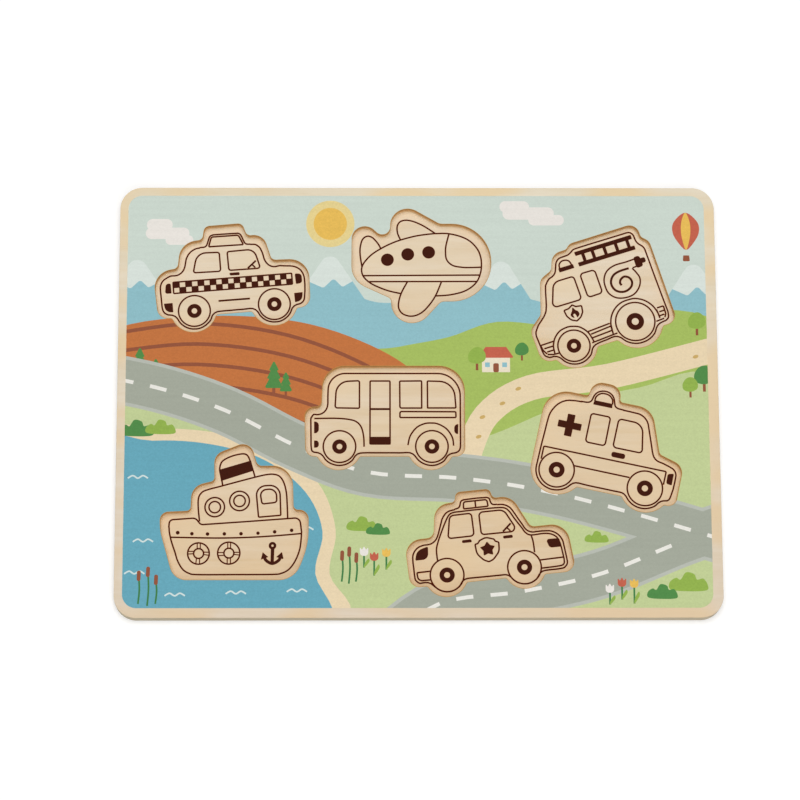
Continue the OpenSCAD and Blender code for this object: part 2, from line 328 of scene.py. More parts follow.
# size: length and height in mm; turn: degrees; edge: depths in hundredths of a mm of the drawn outline in
# its recess, at even steps along the recess from its leftmost point; sign: left, right and foot of the roof
# sign or light, which has lines of its own. The places and depths were fitted to the photo by a program.
VEHICLES = {
    "taxi": {"size": (78.2, 54.2), "turn": 5, "sign": (311, 632, 800), "edge": (
        234, 234, 229, 223, 277, 310, 295, 260, 270, 279, 280, 283, 270, 263, 252, 220, 263, 270, 267, 273,
        268, 286, 271, 282, 290, 298, 298, 285, 279, 269, 255, 303, 324, 307, 260, 230, 223, 231, 214, 187,
        187, 192, 181, 155, 237, 299, 283, 318, 342, 323, 311, 327, 350, 345, 322, 324, 319, 316, 355, 288,
        269, 242, 286, 310, 321, 306, 294, 223, 169, 192, 180, 202), "marks": [
        loop((366, 829, 0.4), (591, 823, 0.4), (563, 918, 1.4), (388, 921, 1.4)),
        curve((635, 821.5), (615.5, 824), (603.5, 833), (594, 858.5), (585, 895.5), (575.5, 923.5),
            (562.5, 936), (545, 937.5), (486, 939.5), (414, 941), (397, 939.5), (382.5, 931.5),
            (373.5, 915), (367.2, 892), (361, 868), (354, 846), (345, 834), (333.5, 829), (320, 829),
            (306.5, 828)), loop((254, 591, 1), (431, 584, 1.2), (431, 768, 1.2), (288, 777, 5.5)),
        loop((484, 586, 1.2), (688, 582, 1.2), (656, 770, 4.6), (482, 767, 1)),
        line((607, 592), (662, 658), wide=0.9), line((635, 625), (655, 592)),
        fill((484, 536, 1.4), (553, 533, 0.6), (549, 561, 0.6), (487, 561, 0.6)),
        *checker((118, 408), (885, 403), (885, 508), (119, 516), 20),
        fill((63, 413, 1), (104, 411, 0.3), (103, 507, 0.8), (72, 507, 1.6)),
        fill((908, 402, 0.4), (948, 407, 1.6), (948, 497, 1.6), (905, 502, 0.6)),
        fill((50, 318, 0.3), (58, 237, 3.2), (106, 229, 0.3), (106, 318, 0.3)),
        fill((891, 316, 0.3), (892, 228, 0.3), (936, 237, 3), (946, 318, 0.3)),
        line((402, 301), (604, 299), wide=0.9),
        *wheels((242, 225), (758, 226), tyre=8, hub=3.62, hole=1.43)]},
    "plane": {"size": (70, 58.8), "turn": 0, "marks": [
        curve((352, 278), (252, 307), (149, 360), (92, 415), (71, 469), (75, 523), (102, 575), (148, 630),
            (212, 680), (280, 722), (354, 756), (459, 790), (559, 808), (618, 813), (697, 812), (789, 785),
            (857, 741), (907, 673), (930, 602), (935, 532), (928, 463), (903, 388), (855, 330), (789, 290),
            (694, 265), (599, 258)),
        curve((73, 512), (60, 615), (60, 689), (76, 758), (109, 788), (148, 776), (188, 723), (209, 676)),
        curve((352, 753), (330, 816), (328, 879), (350, 919), (392, 932), (448, 919), (520, 879), (602, 814)),
        curve((702, 810), (681, 713), (676, 650), (684, 580), (725, 530), (794, 512), (862, 510), (937, 513)),
        line((82, 437), (925, 443)), line((124, 384), (900, 386)),
        curve((401, 385), (360, 294), (339, 216), (337, 149), (367, 98), (426, 78), (486, 98), (541, 154),
            (600, 254), (645, 382)), *dots((256, 579, 3.22), (403, 627, 3.22), (554, 645, 3.22))]},
    "fire_engine": {"size": (72.4, 62.4), "turn": 18, "edge": (
        241, 253, 261, 257, 288, 312, 291, 310, 310, 313, 308, 291, 270, 251, 211, 220, 268, 286, 333, 323,
        338, 348, 350, 348, 330, 306, 273, 272, 310, 303, 252, 190, 199, 206, 214, 219, 225, 231, 235, 238,
        241, 244, 253, 222, 218, 217, 205, 204, 204, 199, 198, 195, 191, 190, 188, 192, 232, 163, 173, 206,
        217, 212, 156, 264, 279, 277, 291, 299, 275, 125, 124, 200), "marks": [
        fill((482, 905, 0.3), (897, 901, 0.3), (897, 936, 0.3), (480, 939, 0.3)),
        fill((482, 812, 0.3), (897, 808, 0.3), (897, 842, 0.3), (481, 846, 0.3)),
        *[bar(x - 11.5, x + 11.5, 830, 920) for x in (534, 604, 690, 775, 859)],
        curve((347, 836), (350, 873), (368, 895), (390, 900), (413, 893), (428, 875), (436, 834)),
        fill((337, 814, 0.1), (446, 814, 0.3), (444, 848, 0.3), (337, 849, 0.3)),
        loop((207, 550, 2), (421, 547, 1.8), (420, 750, 1.6), (271, 751, 4.3)),
        loop((468, 545, 1.8), (575, 547, 1.8), (575, 749, 1.8), (467, 752, 1.8)),
        curve((871, 735), (801, 732), (716, 733), (653, 706), (617, 651), (607, 586), (617, 521),
              (660, 469), (727, 449), (789, 461), (837, 509), (857, 570), (845, 626), (829, 666)),
        line((833, 669), (872, 671)),
        curve((806, 675), (741, 675), (691, 660), (659, 620), (653, 575), (669, 530), (706, 504),
              (745, 503), (781, 525), (796, 562), (786, 600), (756, 620), (726, 605), (714, 580),
              (719, 558), wide=1.1),
        fill((859, 655, 1.2), (910, 658, 1.2), (905, 751, 1.4), (860, 751, 1.2)),
        fill((900, 683, 0.6), (938, 684, 0.9), (937, 726, 0.9), (900, 726, 0.6)),
        loop((344, 526, 0.5), (312, 505, 0.8), (277, 502, 0.5), (283, 450, 2), (305, 408, 3),
            (340, 388, 0.5), (374, 408, 3), (398, 444, 2), (405, 497, 0.5), (365, 504, 0.8)),
        blob((341, 504), (329, 478), (322, 468), (311, 448), (318, 428), (331, 420), (328, 443), (340, 452),
            (348, 435), (351, 415), (367, 428), (373, 442), (367, 465), (354, 478)),
        *wheels((262, 200), tyre=8.1, hub=3.62, hole=1.45),
        curve((404, 183), (397, 230), (386, 271), (366, 306), (338, 337), (300, 355), (265, 363),
              (219, 357), (186, 340), (154, 308), (133, 269), (123, 236), (118, 183)),
        *wheels((724, 238), tyre=9.9, hub=4.42, hole=1.8),
        curve((895, 204), (894, 251), (879, 311), (853, 359), (819, 395), (774, 421), (727, 427),
              (678, 423), (633, 401), (595, 364), (568, 316), (552, 256), (551, 205)),
        line((41, 284), (140, 286)), line((59, 250), (124, 249)), line((71, 217), (123, 217)),
        line((68, 197), (107, 182), (153, 179)), line((42, 284), (49, 237), (66, 203)),
        line((387, 276), (549, 287)), line((402, 248), (554, 263)), line((403, 216), (549, 226)),
        line((390, 178), (579, 192)), line((557, 290), (548, 187)),
        line((900, 291), (947, 291, 0.5), (945, 226, 0.5), (931, 198)), line((906, 255), (947, 255)),
        line((896, 222), (934, 224)), line((864, 187), (923, 191)), line((893, 280), (896, 204))]},
    "bus": {"size": (79.6, 52.8), "turn": 0, "edge": (
        281, 277, 273, 270, 263, 290, 308, 294, 297, 313, 325, 317, 304, 281, 254, 265, 278, 274, 275, 275,
        275, 272, 293, 314, 328, 333, 318, 299, 277, 238, 247, 291, 269, 200, 196, 197, 196, 196, 196, 195,
        194, 198, 231, 257, 270, 272, 269, 258, 256, 257, 257, 257, 257, 257, 257, 257, 257, 257, 257, 257,
        257, 256, 261, 268, 271, 270, 274, 279, 298, 305, 254, 303), "marks": [
        loop((189, 617, 1.1), (342, 613, 0.7), (342, 881, 0.9), (198, 871, 6.5)),
        loop((596, 615, 0.9), (733, 615, 0.1), (733, 879, 0.5), (595, 877, 0.5)),
        loop((770, 616, 0.1), (948, 616, 0.5), (935, 871, 8), (769, 878, 0.5)),
        loop((408, 267, 0.5), (534, 267, 0.5), (534, 878, 0.5), (409, 878, 0.5)),
        line((407, 605), (535, 605), wide=1),
        fill((405, 262, 0.3), (538, 261, 0.3), (538, 336, 0.3), (406, 336, 1.1)),
        loop((596, 523, 0.5), (948, 523, 0.5), (947, 579, 0.5), (596, 581, 0.9)),
        curve((59, 513), (120, 515), (200, 515), (271, 506), (321, 484), (353, 431), (368, 341), (371, 241)),
        curve((646, 256), (660, 344), (699, 424), (749, 463), (794, 470), (836, 460), (889, 412),
              (924, 331), (932, 251)), fill((58, 370, 0.3), (87, 376, 2), (87, 480, 2), (58, 485, 0.3)),
        fill((58, 232, 0.3), (87, 233, 1.4), (87, 298, 1.4), (58, 301, 0.3)),
        fill((937, 367, 2), (960, 363, 0.3), (962, 461, 0.3), (937, 452, 2)),
        *wheels((217, 242), (796, 243), tyre=8.1, hub=3.65, hole=1.45)]},
    "ambulance": {"size": (74.2, 60.2), "turn": -12, "sign": (255, 534, 800), "edge": (
        269, 273, 279, 284, 293, 292, 303, 305, 307, 318, 291, 278, 274, 274, 272, 270, 275, 270, 275, 278,
        277, 273, 272, 262, 302, 355, 342, 280, 238, 228, 231, 238, 232, 212, 205, 240, 257, 251, 250, 248,
        247, 248, 249, 246, 244, 233, 230, 261, 277, 299, 267, 274, 293, 269, 250, 233, 246, 287, 341, 383,
        410, 420, 396, 351, 330, 320, 308, 294, 284, 278, 273, 266), "marks": [
        curve((543.6, 831), (524.5, 832.5), (505.7, 833.5), (490.5, 838.5), (478.5, 849.5), (472, 868),
            (466.4, 890.3), (458.5, 914), (444.2, 936.5), (424.2, 951), (402, 957), (375.8, 954),
            (351.6, 941.6), (333.9, 920.4), (323.5, 894), (318.7, 869), (312.5, 851), (300, 838.5),
            (284.2, 833.5), (264.4, 832), (244.5, 830.8)),
        curve((336.6, 858.4), (337.6, 887), (349, 912.5), (371.3, 932), (399, 936), (424, 929.8),
            (442.9, 912.7), (454.6, 889), (457.2, 857.5)),
        fill((330, 827, 0.3), (460, 827, 0.3), (458, 864, 1.1), (332, 864, 1.1)),
        fill((177, 518, 0.3), (227, 518, 0.3), (228, 706, 0.3), (177, 706, 0.3)),
        fill((123, 583, 0.3), (282, 583, 0.3), (282, 641, 0.3), (123, 641, 0.3)),
        loop((328, 501, 1.6), (462, 501, 1.6), (462, 749, 1.4), (330, 749, 1.4)),
        loop((516, 503, 1.8), (717, 503, 1.6), (684, 748, 5.4), (519, 751, 1.8)),
        fill((517, 422, 1.1), (608, 422, 1.1), (609, 466, 1.1), (515, 466, 1.1)),
        line((60, 285), (61, 394, 0.6), (899, 392, 0.6), (897, 279)), line((284, 283), (665, 280)),
        fill((914, 292, 1), (952, 287, 0.3), (952, 387, 0.5), (912, 375, 1.2)),
        *wheels((176, 220), (780, 217), tyre=8.8, hub=3.97, hole=1.57)]},
    "boat": {"size": (73, 67.7), "turn": 0, "marks": [
        curve((417, 712), (407, 770), (395, 831), (405, 882), (432, 910), (486, 936), (548, 950),
              (577, 943), (594, 918), (614, 856), (636, 776)),
        fill((390, 830), (405, 746), (627, 824), (608, 900)),
        curve((262, 445), (253, 532), (252, 611), (268, 652), (303, 677), (407, 708), (512, 739),
              (630, 773), (704, 792), (758, 797), (802, 782), (831, 737), (849, 665), (856, 569), (860, 464)),
        ring(364, 551, 4.85), ring(364, 551, 2.85), ring(532, 597, 4.9), ring(532, 597, 2.85),
        loop((662, 476, 0.5), (813, 490, 0.5), (805, 717, 5), (641, 707, 4.7)),
        loop((685, 574, 1.2), (785, 587, 1.4), (782, 689, 3.5), (668, 679, 3.1)),
        line((54, 399), (58, 456, 2), (235, 470, 3), (270, 420, 2.2), (591, 444), (942, 472, 2.8),
             (955, 361)),
        curve((56, 400), (59, 360), (73, 295), (98, 215), (117, 151), (151, 90), (196, 59), (255, 50),
            (500, 50), (755, 51), (818, 59), (870, 89), (912, 151), (941, 231), (951, 305), (954, 361)),
        curve((67, 327), (200, 324), (400, 321), (600, 326), (782, 338), (952, 354)),
        *dots((115, 361, 0.92), (211, 353, 0.87), (317, 351, 0.87), (431, 352, 0.87), (544, 353, 0.87),
            (659, 357, 0.82), (772, 367, 0.87), (887, 378, 0.87)), ring(257, 206, 5.35),
        ring(258, 206, 2.45),
        *rays(((244, 176), (240, 127)), ((229, 205), (180, 202)), ((265, 171), (265, 128)),
            ((226, 222), (181, 222)), ((248, 241), (248, 284)), ((289, 199), (335, 192)),
            ((269, 239), (269, 284)), ((287, 217), (334, 215))), ring(462, 209, 5.5), ring(463, 209, 2.45),
        *rays(((452, 176), (452, 127)), ((431, 193), (386, 190)), ((474, 176), (474, 127)),
            ((434, 213), (384, 213)), ((455, 245), (455, 290)), ((492, 200), (540, 194)),
            ((474, 242), (474, 291)), ((494, 215), (539, 215))), disc(758, 264, 1.87, 0.6),
        fill((745, 139, 1.1), (767, 139, 1.1), (771, 254, 0.7), (747, 254, 1.1)),
        curve((700, 190), (715, 155), (757, 132), (800, 155), (815, 190), wide=1.5),
        fill((680, 161), (729, 180), (692, 215)), fill((834, 163, 0.4), (822, 217, 0.2), (784, 180))]},
    "police_car": {"size": (82.1, 51.3), "turn": 6, "sign": (327, 582, 830), "edge": (
        309, 286, 287, 281, 290, 294, 249, 271, 329, 328, 324, 312, 286, 262, 229, 252, 248, 246, 243, 242,
        239, 266, 286, 302, 308, 293, 275, 251, 246, 253, 249, 269, 310, 298, 263, 267, 272, 276, 288, 272,
        242, 183, 160, 162, 199, 200, 220, 229, 244, 262, 260, 242, 256, 284, 301, 305, 306, 317, 361, 319,
        262, 330, 378, 385, 343, 272, 202, 218, 212, 271, 312, 325), "marks": [
        curve((188.5, 367), (189, 477), (203, 550), (229, 641), (259, 735.5), (287, 805), (316.5, 827),
            (360, 829), (420, 831), (479, 831), (573, 830.5), (626, 820), (653, 781), (681, 701),
            (716, 610), (735, 559), (766, 529), (842, 531), (886, 519), (919, 483), (936, 416), (945, 312),
            (948, 252), (943, 215), (916, 200), (804, 195)),
        curve((584.5, 862), (562, 865), (550.5, 878), (545, 902.5), (541, 927), (528, 940), (512, 941.5),
            (463, 944), (400, 941.5), (384, 940), (371, 931), (364, 911.5), (360.5, 892), (354.5, 874.5),
            (344, 863.5), (325, 858)),
        loop((380, 851.5, 0.5), (529, 853.5, 0.5), (526, 920, 1.2), (383, 920, 1.2)),
        line((454, 853), (454, 922)),
        loop((266, 577, 1.4), (425, 579, 1.8), (423, 802, 1.6), (291, 799, 2.4)),
        loop((469, 582, 1.6), (690, 580, 2.2), (620, 803, 4.1), (468, 803, 2)),
        line((601, 591), (653, 664), wide=0.9), line((628, 624), (646, 589)),
        fill((348, 519, 0.6), (406, 519, 0.4), (406, 548, 0.8), (349, 547, 0.6)),
        fill((600, 521, 0.6), (657, 521, 0.6), (655, 550, 0.6), (596, 548, 0.6)),
        loop((492, 552, 3.8), (454, 526, 1), (441, 499, 0.5), (424, 494, 0.6), (429, 399, 4.8),
            (466, 333, 4), (496, 311, 1), (524, 328, 4), (565, 401, 4.8), (568, 491, 0.6), (547, 506, 0.5),
            (542, 526, 1)),
        fill((497, 511, 0.4), (515, 472), (542, 459, 0.2), (525, 422), (527, 374, 0.4), (497, 392),
            (469, 374, 0.4), (470, 422), (452, 459, 0.2), (480, 472)),
        fill((55, 396, 0.5), (134, 396, 3), (140, 521, 0.5), (70, 490, 4.5)),
        fill((870, 386, 1.9), (943, 386, 0.5), (933, 469, 0.8), (852, 474, 1.2)),
        line((141, 278), (57, 277, 0.5), (60, 195, 2.2), (138, 194)), line((802, 276), (949, 281)),
        curve((767, 530), (774, 472), (776, 410), (776, 357)),
        *wheels((236, 224), (705, 222), tyre=8.32, hub=3.77, hole=1.5)]},
}

CARRY = {j["child"]: Vector(j["axis"]) * j["range_m"][1] / MM for j in frame["joints"]}
BOARD_OUTLINES = face_outlines("top_panel", FACE_LEVEL)
BOARD_EDGE = max(BOARD_OUTLINES, key=lambda o: max(p[0] for p in o))


def recess_place(name):
    """Middle of a vehicle's recess on the board, in mm."""
    low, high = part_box(name + "_peg")
    turn, drop = math.radians(VEHICLES[name]["turn"]), PEG_SHARE * VEHICLES[name]["size"][1]
    way = CARRY[name + "_piece"]
    return ((low.x + high.x) / 2 / MM + drop * math.sin(turn) + way.x,
            (low.y + high.y) / 2 / MM - drop * math.cos(turn) + way.y)


def recess_outline(name):
    """The recess of a vehicle as cut in the top panel, in mm."""
    place = recess_place(name)
    return min((o for o in BOARD_OUTLINES if o is not BOARD_EDGE), key=lambda o: math.dist(middle(o), place))


def drawn_edge(name):
    """The drawn outline of a vehicle in its recess."""
    step = 0.75
    path, out = even_steps(recess_outline(name), step), []
    depths = [depth / 100 for depth in VEHICLES[name]["edge"]]
    for i, (x, y) in enumerate(path):
        (tx, ty), _ = unit(path[i - 2], path[(i + 2) % len(path)])
        place = i / len(path) * len(depths)
        k, share = int(place), place % 1
        depth = depths[k] * (1 - share) + depths[(k + 1) % len(depths)] * share
        out.append((x - ty * depth, y + tx * depth))
    return out


def without_sign(path, name):
    """The drawn outline from one foot of the roof sign round to the other."""
    (px, py), (length, height) = recess_place(name), VEHICLES[name]["size"]
    left, right, foot = VEHICLES[name]["sign"]
    seen = []
    for x, y in path:
        along, up = turned(x - px, y - py, -VEHICLES[name]["turn"])
        seen.append(not (left < (along / length + 0.5) * 1000 < right and (up / height + 0.5) * 1000 > foot))
    first = next(i for i in range(len(path)) if seen[i] and not seen[i - 1])
    return [path[i % len(path)] for i in range(first, first + len(path)) if seen[i % len(path)]]


def marks_of(name, wide):
    """A vehicle's drawing in its recess: thin lines and filled marks, each shape a list of outlines in mm."""
    vehicle, (px, py) = VEHICLES[name], recess_place(name)
    length, height = vehicle["size"]

    def at(corner):
        x, y = (corner[0] / 1000 - 0.5) * length, (corner[1] / 1000 - 0.5) * height
        return (*turned(x, y, vehicle["turn"], px, py), *corner[2:])

    def band(path):
        return [inset(path, -wide / 2), inset(path, wide / 2)]

    thin, full = [], []
    if "sign" in vehicle:
        thin.append([ribbon(without_sign(drawn_edge(name), name), wide)])
    elif "edge" in vehicle:
        thin.append(band(drawn_edge(name)))
    for kind, places, extra in vehicle["marks"]:
        points = [at(p) for p in places]
        if kind == "loop":
            thin.append(band(rounded(points)))
        elif kind in ("line", "curve"):
            path = rounded(points, closed=False) if kind == "line" else smooth(points, closed=False)
            (full if extra and extra > wide else thin).append([ribbon(path, extra or wide)])
        elif kind == "ring":
            thin.append([circle(*points[0], extra + wide / 2), circle(*points[0], extra - wide / 2)])
        elif kind == "disc":
            full.append([circle(*points[0], r, 40) for r in extra if r])
        else:
            full.append([rounded(points) if kind == "fill" else smooth(points)])
    return thin, full


# Printed landscape

CROWN = ((-5, 6), (-5.4, 10), (-2.6, 14), (1.5, 14.8), (5, 11.5), (5.2, 7), (2, 4.6), (-2, 4.4))
BUSH = ((-10, 0), (-10.5, 4), (-7, 6.5), (-4.5, 5.5), (-1.5, 9.5), (3, 8.5), (4.5, 5.5), (8, 6), (10.3, 2.5),
        (9.5, -0.5), (0, -1))
PINE = ((-5, 3, 0.8), (5, 3, 0.8), (2.4, 8, 0.3), (3.8, 8, 0.6), (1.6, 12.5, 0.3), (2.7, 12.5, 0.5),
        (0, 18, 0.6), (-2.7, 12.5, 0.5), (-1.6, 12.5, 0.3), (-3.8, 8, 0.6), (-2.4, 8, 0.3))
TULIP = ((-2.1, 4, 0.3), (-2.1, -0.6, 1.8), (2.1, -0.6, 1.8), (2.1, 4, 0.3), (1, 2.4, 0.2), (0, 4.2, 0.3),
         (-1, 2.4, 0.2))
ROAD_WIDTH, KERB_WIDTH, DASH_WIDTH, DASH_LENGTH = 21.5, 25, 1.9, 8.5


def placed(points, x, y, size=1):
    """A small figure's points at a place and size; the radii stay."""
    return [(x + p[0] * size, y + p[1] * size, *p[2:]) for p in points]


def landscape():
    """Groups (ink, shapes) of the printed picture in mm, from the back to the front."""
    groups = []

    def add(ink, *shapes):
        groups.append((ink, shapes))

    def hill(ink, *points):
        add(ink, smooth(points))

    def path(*points):
        return smooth(points, False)

    add("halo", circle(-44, 91, 12.2))
    add("sun", circle(-44, 91, 8.4))
    add("cloud", *[pill(*c) for c in ((56, 96.5, 26, 6.5), (49, 100, 15, 6), (65, 93, 18, 5.5))])
    add("cloud", *[pill(*c) for c in ((-126, 86, 22, 6), (-130, 90.5, 13, 6), (-120, 82.5, 14, 5))])
    peaks = ((-141, 30, 62, 46), (-44, 28, 66, 50), (-78, 26, 60, 36), (42, 28, 58, 48), (12, 26, 60, 34),
             (139, 24, 64, 50), (70, 26, 60, 34))
    ridge = smooth([(-170, 48), (-140, 54), (-112, 50), (-95, 56), (-70, 52), (-45, 58), (-20, 50),
                    (5, 52), (40, 56), (65, 50), (90, 54), (120, 52), (170, 50), (170, 5), (-170, 5)])
    slopes = [rounded([(x - w / 2, y), (x + w / 2, y), (x, y + h, 5)]) for x, y, w, h in peaks]
    add("mountain", ridge, *slopes)
    for x, y, w, h in (peaks[0], peaks[1], peaks[3], peaks[5]):
        half, low = w / 2 * 0.34, y + 0.66 * h
        add("snow", rounded([(x - half, low), (x - half * 0.3, low - 0.07 * h, 1.5),
                             (x + half * 0.15, low + 0.03 * h, 1.5), (x + half * 0.55, low - 0.06 * h, 1.2),
                             (x + half, low), (x, y + h, 5)]))
    hill("brick", (135.5, 97), (141.5, 92), (142, 86), (138.5, 80), (135.5, 77.5), (132.5, 80), (129, 86),
         (129.5, 92))
    hill("sun", (135.5, 97), (137.6, 92), (137.8, 86), (136.6, 80), (135.5, 77.5), (134.4, 80), (133.2, 86),
         (133.4, 92))
    add("soil", rounded([(133.7, 71.5, 0.6), (137.3, 71.5, 0.6), (137, 74.6, 0.3), (134, 74.6, 0.3)]))
    hill("field", (-40, 20), (-10, 27), (15, 32), (40, 40), (75, 38), (110, 46), (150, 40), (170, 0),
         (120, -30), (20, -40), (-40, -20))
    hill("clay", (-170, 20), (-150, 37), (-105, 43), (-60, 40), (-24, 28), (0, 12), (12, -10), (-20, -60),
         (-120, -40), (-170, -20))
    furrows = [path((-152, y - 2), (-110, y + 3 - k), (-65, y - 3 - 1.2 * k), (-25, y - 19 - 1.2 * k),
                    (0, y - 38 - k))
               for k in range(7) for y in (36 - 9.5 * k,)]
    add("soil", *[ribbon(furrow, 1.9) for furrow in furrows])
    hill("meadow", (-170, -4), (-120, -6), (-70, -16), (-20, -28), (30, -20), (70, -4), (110, 6), (150, 10),
         (180, -60), (150, -130), (0, -130), (-170, -130))
    add("sand", ribbon(path((24, -30), (34, -8), (56, 6), (96, 12), (150, 26)), 13))
    pebbles = ((32, -9), (42, -2), (50, 5.5), (139, 22), (30, -19))
    add("pebble", *[oval(x, y, 1.5, 0.9, 20, 14) for x, y in pebbles])
    hill("sand", (-170, -20), (-132, -15), (-100, -17), (-72, -25), (-50, -42), (-41, -66), (-44, -88),
         (-36, -112), (-100, -140), (-180, -120))
    hill("water", (-170, -26), (-132, -21), (-102, -23), (-76, -31), (-56, -47), (-47.5, -67), (-51, -88),
         (-44, -116), (-100, -146), (-186, -126))
    wave = ((-5, 0), (-2.5, 1.3), (0, 0), (2.5, 1.3), (5, 0))
    add("foam", *[ribbon(path(*placed(wave, x, y)), 0.8) for x, y in (
        (-139, -40), (-136, -72), (-60, -97), (-120, -99), (-57, -66), (-90, -98), (-140, -88))])
    house_x, house_y = 39, 14
    add("plaster", box(house_x - 7, house_x + 7, house_y, house_y + 8))
    add("soil", box(house_x - 1.4, house_x + 1.4, house_y, house_y + 4.6, 0.8))
    windows = [house_x - 4.3, house_x + 4.3]
    add("mountain", *[box(x - 1.2, x + 1.2, house_y + 2.6, house_y + 5) for x in windows])
    roof = ((-9, 7.4, 0.5), (9, 7.4, 0.5), (5.2, 13, 0.5), (-5.2, 13, 0.5))
    add("brick", rounded(placed(roof, house_x, house_y)))
    round_trees = ((29.5, 15, 0.8, "leaf"), (52, 20, 0.62, "pine"), (140, 33, 0.8, "leaf"),
                   (143, 4, 0.9, "pine"), (136, 1, 0.7, "leaf"))
    pines = ((-139, 10, 0.95), (-131, 8, 0.75), (-66, 2, 0.7), (-72, 3, 0.95))
    add("soil", *[box(x - 0.8 * s, x + 0.8 * s, y, y + 6 * s) for x, y, s, _ in round_trees],
        *[box(x - 0.8 * s, x + 0.8 * s, y, y + 3.5 * s) for x, y, s in pines])
    for x, y, size, ink in round_trees:
        hill(ink, *placed(CROWN, x, y, size))
    add("pine", *[rounded(placed(PINE, *pine)) for pine in pines])
    main = path((-170, 14), (-130, 6), (-95, -6), (-60, -24), (-25, -37), (20, -40), (60, -46), (100, -56),
                (160, -74))
    side = path((-20, -125), (10, -103), (50, -97), (90, -88), (130, -72), (165, -60))
    add("kerb", ribbon(main, KERB_WIDTH), ribbon(side, KERB_WIDTH))
    add("road", ribbon(main, ROAD_WIDTH), ribbon(side, ROAD_WIDTH))
    add("dash", *dashes(main, DASH_WIDTH, DASH_LENGTH, DASH_LENGTH, 3),
        *dashes(side, DASH_WIDTH, DASH_LENGTH, DASH_LENGTH, 12)[:-2])
    for x, y, size, ink in ((-28, -66, 0.7, "leaf"), (-20, -68, 0.55, "pine"), (88, -72, 0.55, "leaf"),
                            (133, -96, 0.9, "leaf"), (120, -100, 0.7, "pine"), (-140, -18, 0.8, "pine"),
                            (-128, -17, 0.7, "leaf")):
        hill(ink, *placed(BUSH, x, y, size))
    reeds = ((-38, -92, 13), (-34.5, -93, 16), (-31, -92, 12), (-138, -103, 14), (-133.5, -104, 17),
             (-129.5, -103, 12))
    tulips = ((100, -101, 7, "brick"), (106, -103, 8.5, "sun"), (94, -103.5, 6.5, "cloud"),
              (-16, -86, 7, "sun"), (-22, -89, 8, "brick"), (-27, -85, 6.5, "cloud"))
    add("stem", *[ribbon(path((x, y), (x + 0.6, y + h * 0.5), (x + 0.2, y + h)), 0.9) for x, y, h in reeds],
        *[ribbon([(x, y), (x, y + h / 2), (x, y + h)], 0.9) for x, y, h, _ in tulips])
    add("soil", *[pill(x + 0.2, y + h, 5.2, 1.9, 88) for x, y, h in reeds])
    add("leaf", *[smooth([(x, y), (x + 2.6, y + h * 0.45), (x + 2.2, y + h * 0.7), (x + 0.4, y + h * 0.35)])
                  for x, y, h, _ in tulips])
    for x, y, h, ink in tulips:
        add(ink, rounded(placed(TULIP, x, y + h)))
    add("toast", *[inset(recess_outline(name), -0.25) for name in VEHICLES])
    return groups


# Properties

def linear(code):
    """Linear colour of an sRGB hex code."""
    parts = [int(code[k:k + 2], 16) / 255 for k in (0, 2, 4)]
    return tuple(p / 12.92 if p <= 0.04045 else ((p + 0.055) / 1.055) ** 2.4 for p in parts)


def length(label, value, use):
    return bpy.props.FloatProperty(name=label, description=use, default=value, min=0, unit="LENGTH",
                                   precision=5)


def colours(rows):
    """Colour properties from rows (name, hex code, use)."""
    return {key: bpy.props.FloatVectorProperty(
        name=key.replace("_", " ").capitalize(), description=use, default=linear(code), size=3, min=0, max=1,
        subtype="COLOR") for key, code, use in rows}


class PuzzleSizes(bpy.types.PropertyGroup):
    mark_width: length("Mark width", 0.00075, "Width of the burnt lines")
    mark_depth: length("Mark depth", 0.00014, "Depth of the filled marks")
    line_depth: length("Line depth", 0.0001, "Depth of the burnt lines")
    mark_scorch: length("Mark scorch", 0.00006, "Browned band on each side of a burnt line")
    scorch_depth: length("Scorch depth", 0.00003, "Depth of the browned bands")
    edge_ease: length("Edge ease", 0.00025, "Rounding of the panels' sanded edges")
    vehicle_ease: length("Vehicle ease", 0.0004, "Rounding of the vehicles' sanded edges")
    print_border: length("Print border", 0.0046, "Bare wood left round the printed picture")
    print_shift: bpy.props.FloatVectorProperty(
        name="Print shift", description="Place of the picture off the middle of the face",
        default=(-0.0005, 0.0003), size=2, unit="LENGTH", precision=5)
    print_corner: length("Print corner", 0.007, "Corner radius of the printed picture")
    print_thickness: length("Print thickness", 0.00004, "Thickness of the printed colour")
    camera_lens: bpy.props.FloatProperty(name="Lens", description="Focal length of the camera", default=142.8,
                                         unit="CAMERA")


class PuzzleWoods(bpy.types.PropertyGroup):
    __annotations__ = colours((
        ("pale", "EAE1CF", "Early wood of the face"),
        ("dark", "DDCCAA", "Late wood of the face"),
        ("blush", "E6D0A9", "Yellow patches of the face"),
        ("floor_pale", "E7DBC8", "Early wood of the base panel and the vehicles"),
        ("floor_dark", "D9C4A2", "Late wood of the base panel and the vehicles"),
        ("floor_blush", "E4D2B4", "Yellow patches of the base panel and the vehicles"),
        ("edge", "D3C5A9", "Sawn edge of the panels"),
        ("burn", "3D170B", "Filled marks of the drawings"),
        ("line", "421305", "Thin lines of the drawings"),
        ("band", "C97C3E", "Browned sides of the burnt lines"),
        ("scorch", "B07C40", "Laser-cut rim of the recesses"),
        ("honey", "DDAA6C", "Middle of the laser-cut walls"),
        ("foot", "F1DAB2", "Foot of the laser-cut walls"),
        ("peg", "E2C08C", "Turned pegs")))


